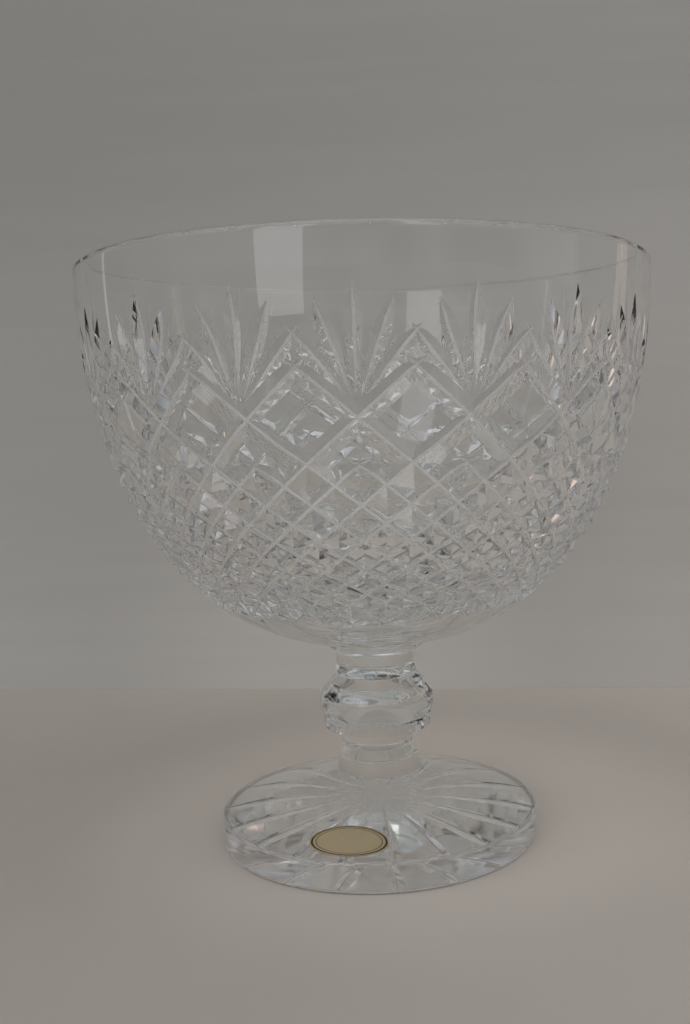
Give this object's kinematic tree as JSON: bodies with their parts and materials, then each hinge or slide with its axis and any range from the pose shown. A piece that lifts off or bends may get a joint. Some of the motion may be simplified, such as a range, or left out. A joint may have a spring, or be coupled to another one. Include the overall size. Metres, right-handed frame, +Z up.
{
  "type": "footed crystal bowl",
  "caption": "Open, deep crystal bowl on a knopped stem and a round foot, with a fan-and-diamond cut and a star under the foot, for serving sweets.",
  "frame": {"origin": "middle of the foot's underside, on the table", "axes": "+Z up through the stem to the open rim, -Y towards the front, where one fan of the cutting faces and the label sits"},
  "size_m": [0.17, 0.17, 0.1767],
  "materials": {
    "crystal": "clear polished crystal, wheel-cut facets",
    "gold_foil": "satin gold foil with a thin dark border"
  },
  "bodies": {
    "root": {"bowl": "crystal", "bowl_collar": "crystal", "upper_stem": "crystal", "knop": "crystal", "lower_stem": "crystal", "foot": "crystal", "foil_label": "gold_foil"}
  },
  "joints": []
}
